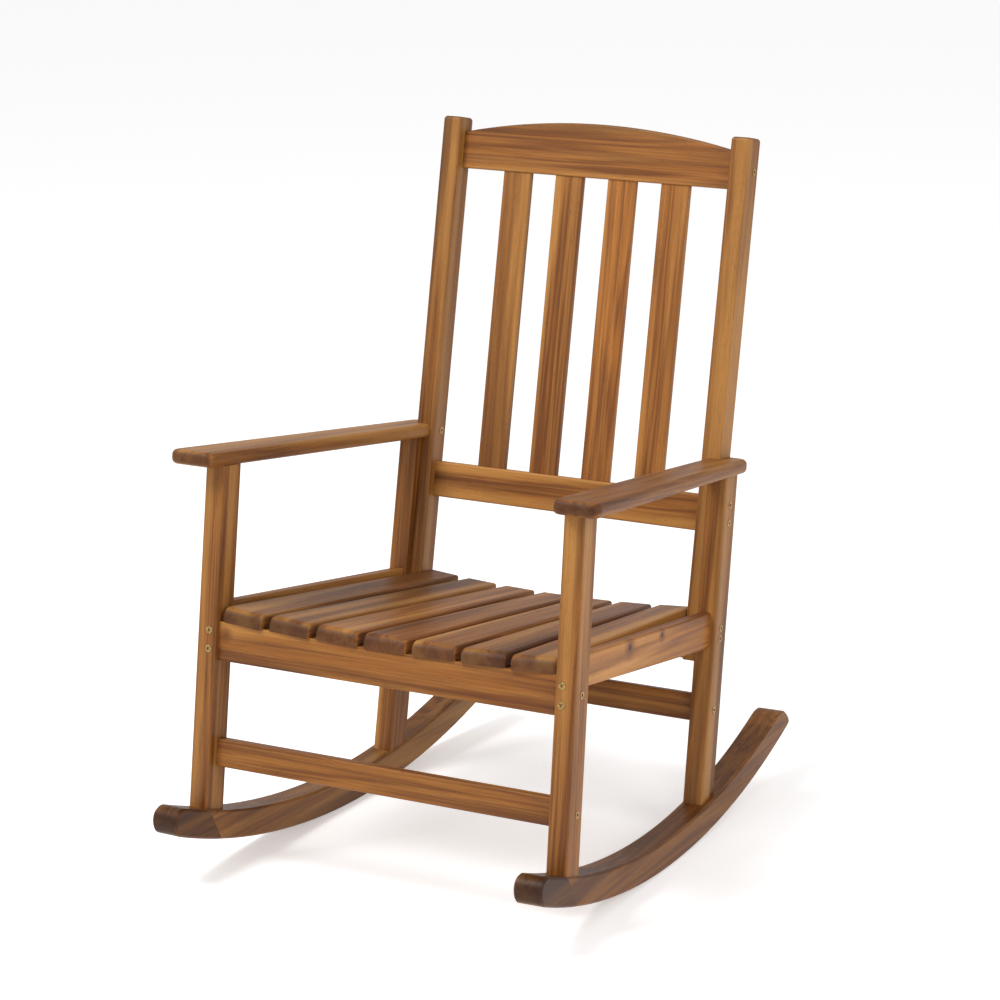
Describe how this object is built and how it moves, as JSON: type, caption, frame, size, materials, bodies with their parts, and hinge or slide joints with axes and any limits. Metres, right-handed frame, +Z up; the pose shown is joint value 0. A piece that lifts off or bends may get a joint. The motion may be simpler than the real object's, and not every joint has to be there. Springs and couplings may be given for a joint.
{
  "type": "rocking chair",
  "caption": "Slatted hardwood rocking chair with flat arms, a high slatted back, a dished slatted seat and curved rockers.",
  "frame": {"origin": "on the floor, midway between the rocker tips on the plane of symmetry", "axes": "+Z up; -Y is the way the sitter faces; +X is the sitter's left"},
  "size_m": [0.6822, 0.8645, 1.0027],
  "materials": {
    "hardwood": "oiled, satin, honey to walnut brown",
    "dark_hardwood": "oiled, satin, dark heartwood",
    "dowel_wood": "plain, unseen",
    "brass": "dull, slightly browned"
  },
  "bodies": {
    "root": {"arm_bolts": "brass", "arm_dowels": "dowel_wood", "arm_left": "hardwood", "arm_right": "hardwood", "back_post_left": "hardwood", "back_post_right": "hardwood", "back_slat_1": "hardwood", "back_slat_2": "hardwood", "back_slat_3": "hardwood", "back_slat_4": "hardwood", "crest_bolts": "brass", "crest_rail": "hardwood", "front_leg_left": "hardwood", "front_leg_right": "hardwood", "front_rail": "hardwood", "front_stretcher": "hardwood", "leg_dowels": "dowel_wood", "lower_back_rail": "hardwood", "pin_bolts": "brass", "post_bolts": "brass", "rail_bolts": "brass", "rear_leg_left": "hardwood", "rear_leg_right": "hardwood", "rear_rail": "hardwood", "rear_stretcher": "hardwood", "rocker_left": "hardwood", "rocker_nose_left": "dark_hardwood", "rocker_nose_right": "dark_hardwood", "rocker_right": "hardwood", "seat_dowels": "dowel_wood", "seat_slat_1": "hardwood", "seat_slat_2": "hardwood", "seat_slat_3": "hardwood", "seat_slat_4": "hardwood", "seat_slat_5": "hardwood", "seat_slat_6": "hardwood", "seat_slat_7": "hardwood", "side_rail_left": "hardwood", "side_rail_right": "hardwood"}
  },
  "joints": []
}
